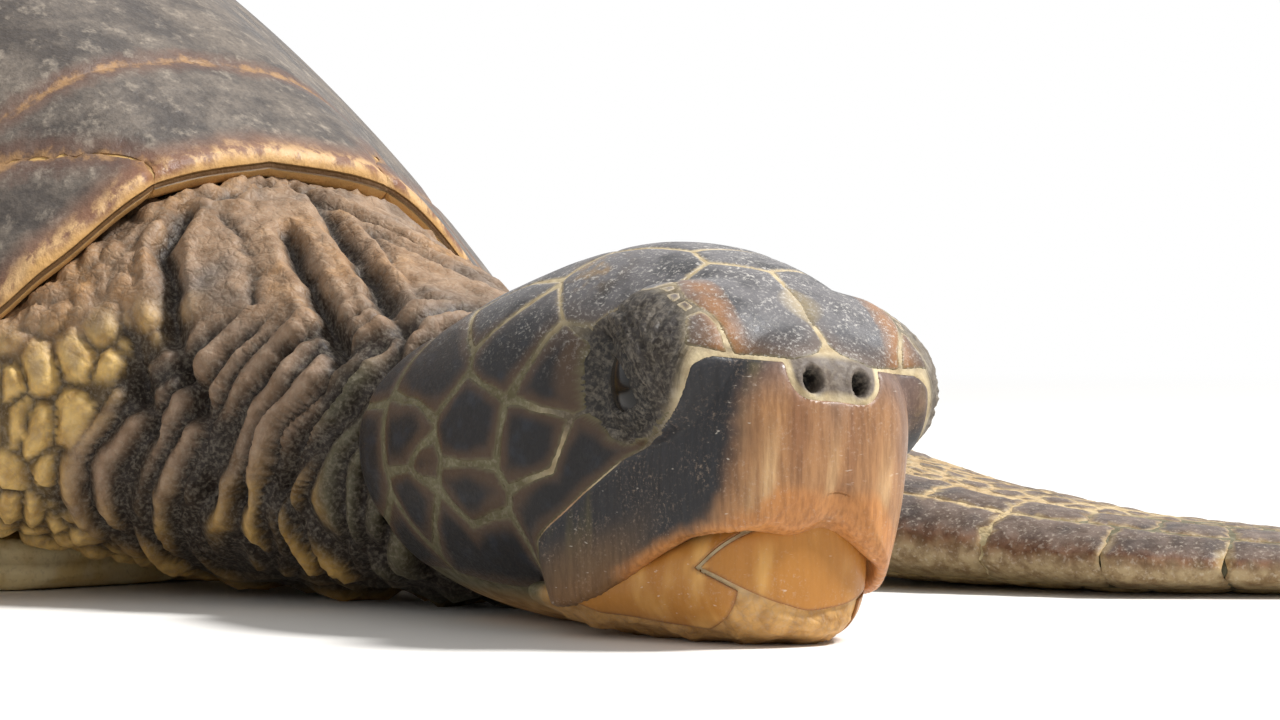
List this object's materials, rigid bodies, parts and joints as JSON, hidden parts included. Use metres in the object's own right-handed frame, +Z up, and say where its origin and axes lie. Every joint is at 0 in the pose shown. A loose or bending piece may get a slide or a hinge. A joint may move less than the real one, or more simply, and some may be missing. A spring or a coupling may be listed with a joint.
{
  "type": "sea turtle",
  "caption": "Life-size green sea turtle resting flat on a beach, head low and turned a little to its left, beak slightly open, front flippers spread, as a still display model.",
  "frame": {"origin": "middle of the footprint, on the floor the turtle lies on", "axes": "+Z up; -Y the way the turtle faces, from tail to head; +X its left side"},
  "size_m": [1.085, 1.4018, 0.3157],
  "materials": {
    "skin": "matte",
    "scute": "satin",
    "plastron": "satin",
    "beak": "satin",
    "claw": "satin",
    "eye": "gloss"
  },
  "bodies": {
    "root": {"claw_front_left": "claw", "claw_front_right": "claw", "claw_hind_left": "claw", "claw_hind_right": "claw", "costal_left_1": "scute", "costal_left_2": "scute", "costal_left_3": "scute", "costal_left_4": "scute", "costal_right_1": "scute", "costal_right_2": "scute", "costal_right_3": "scute", "costal_right_4": "scute", "eye_left": "eye", "eye_right": "eye", "front_flipper_left": "skin", "front_flipper_right": "skin", "head": "skin", "hind_flipper_left": "skin", "hind_flipper_right": "skin", "lower_beak": "beak", "lower_jaw": "skin", "marginal_left_1": "scute", "marginal_left_10": "scute", "marginal_left_11": "scute", "marginal_left_2": "scute", "marginal_left_3": "scute", "marginal_left_4": "scute", "marginal_left_5": "scute", "marginal_left_6": "scute", "marginal_left_7": "scute", "marginal_left_8": "scute", "marginal_left_9": "scute", "marginal_right_1": "scute", "marginal_right_10": "scute", "marginal_right_11": "scute", "marginal_right_2": "scute", "marginal_right_3": "scute", "marginal_right_4": "scute", "marginal_right_5": "scute", "marginal_right_6": "scute", "marginal_right_7": "scute", "marginal_right_8": "scute", "marginal_right_9": "scute", "neck": "skin", "nuchal": "scute", "plastron": "plastron", "supracaudal_left": "scute", "supracaudal_right": "scute", "tail": "skin", "trunk": "skin", "upper_beak": "beak", "vertebral_1": "scute", "vertebral_2": "scute", "vertebral_3": "scute", "vertebral_4": "scute", "vertebral_5": "scute"}
  },
  "joints": []
}
